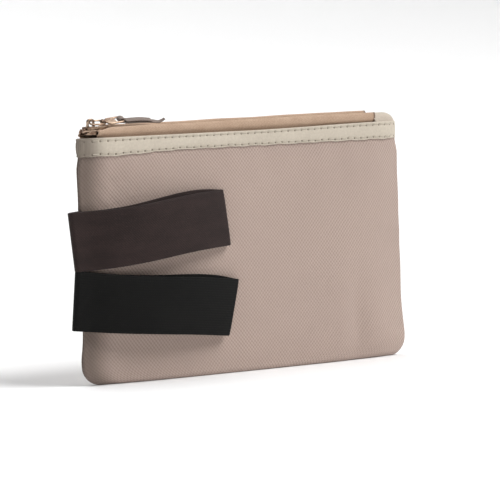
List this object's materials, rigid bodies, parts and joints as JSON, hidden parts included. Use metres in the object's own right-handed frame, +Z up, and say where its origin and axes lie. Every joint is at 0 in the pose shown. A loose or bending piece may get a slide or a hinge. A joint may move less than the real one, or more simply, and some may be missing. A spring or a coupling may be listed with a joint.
{
  "type": "cash deposit bag",
  "caption": "Flat zipped fabric pouch for carrying cash to the bank, with a ribbon-bound mouth, a pull with a fabric tail and elastic loops on one side.",
  "frame": {"origin": "centre of the base's underside, where the standing bag meets the surface", "axes": "+X from the loops' side to the zip's far end, -Y out of the front, +Z up"},
  "size_m": [0.2075, 0.0278, 0.1401],
  "materials": {
    "outer_fabric": "mauve-beige jacquard with a fine diamond weave, matt",
    "lining_fabric": "plain-woven polyester lining, slightly shiny",
    "ribbon": "cream grosgrain ribbon, matt",
    "thread": "polyester sewing thread, slightly shiny",
    "zip_tape": "tan woven zip tape, matt",
    "zip_coil": "tan nylon coil, satin",
    "slider_metal": "champagne lacquered zinc, satin",
    "tail_fabric": "taupe folded ribbon, matt",
    "brown_elastic": "dark brown smooth woven elastic, matt",
    "black_elastic": "black ribbed woven elastic, matt"
  },
  "bodies": {
    "bag_front": {"front_panel": "outer_fabric", "front_lining": "lining_fabric", "front_ribbon_band": "ribbon", "front_upper_stitches": "thread", "front_lower_stitches": "thread", "front_zip_tape": "zip_tape", "front_zip_coil": "zip_coil", "front_top_stop": "slider_metal", "bottom_stop": "slider_metal", "zip_end_tab": "ribbon", "upper_loop_root": "brown_elastic", "lower_loop_root": "black_elastic"},
    "bag_back": {"back_panel": "outer_fabric", "back_lining": "lining_fabric", "back_ribbon_band": "ribbon", "back_upper_stitches": "thread", "back_lower_stitches": "thread", "back_zip_tape": "zip_tape", "back_zip_coil": "zip_coil", "back_top_stop": "slider_metal"},
    "slider": {"slider_body": "slider_metal", "slider_crown": "slider_metal"},
    "pull_link": {"pull_link": "slider_metal"},
    "pull_tab": {"pull_tab": "slider_metal"},
    "pull_tail": {"pull_tail": "tail_fabric"},
    "upper_loop": {"upper_loop": "brown_elastic"},
    "lower_loop": {"lower_loop": "black_elastic"}
  },
  "joints": [
    {"name": "slider_travel", "type": "slide", "parent": "bag_front", "child": "slider", "axis": [1, 0, 0], "range_m": [0, 0.161], "deforming": ["front_zip_coil", "back_zip_coil"]},
    {"name": "mouth_open", "type": "hinge", "parent": "bag_front", "child": "bag_back", "pos_m": [0, 0.007, 0], "axis": [-1, 0, 0], "range_deg": [0, 8]},
    {"name": "pull_link_swing", "type": "hinge", "parent": "slider", "child": "pull_link", "pos_m": [-0.0909, 0, 0.1368], "axis": [0, -0.9063, -0.4226], "range_deg": [0, 150]},
    {"name": "pull_tab_swing", "type": "hinge", "parent": "pull_link", "child": "pull_tab", "pos_m": [-0.083, 0, 0.1368], "axis": [0, -0.9063, -0.4226], "range_deg": [0, 25]},
    {"name": "pull_tail_swing", "type": "hinge", "parent": "pull_tab", "child": "pull_tail", "pos_m": [-0.07258, -0.00054, 0.13796], "axis": [0, -0.9063, -0.4226], "range_deg": [0, 15]},
    {"name": "upper_loop_swing", "type": "hinge", "parent": "bag_front", "child": "upper_loop", "pos_m": [-0.1026, -0.0023, 0.0756], "axis": [0, 0, -1], "range_deg": [0, 180], "deforming": ["upper_loop_root"]},
    {"name": "lower_loop_swing", "type": "hinge", "parent": "bag_front", "child": "lower_loop", "pos_m": [-0.1026, -0.0023, 0.0448], "axis": [0, 0, -1], "range_deg": [0, 180], "deforming": ["lower_loop_root"]}
  ],
  "couplings": [
    {"joint": "mouth_open", "follows": "slider_travel", "rad_per_m": 0.8672}
  ]
}
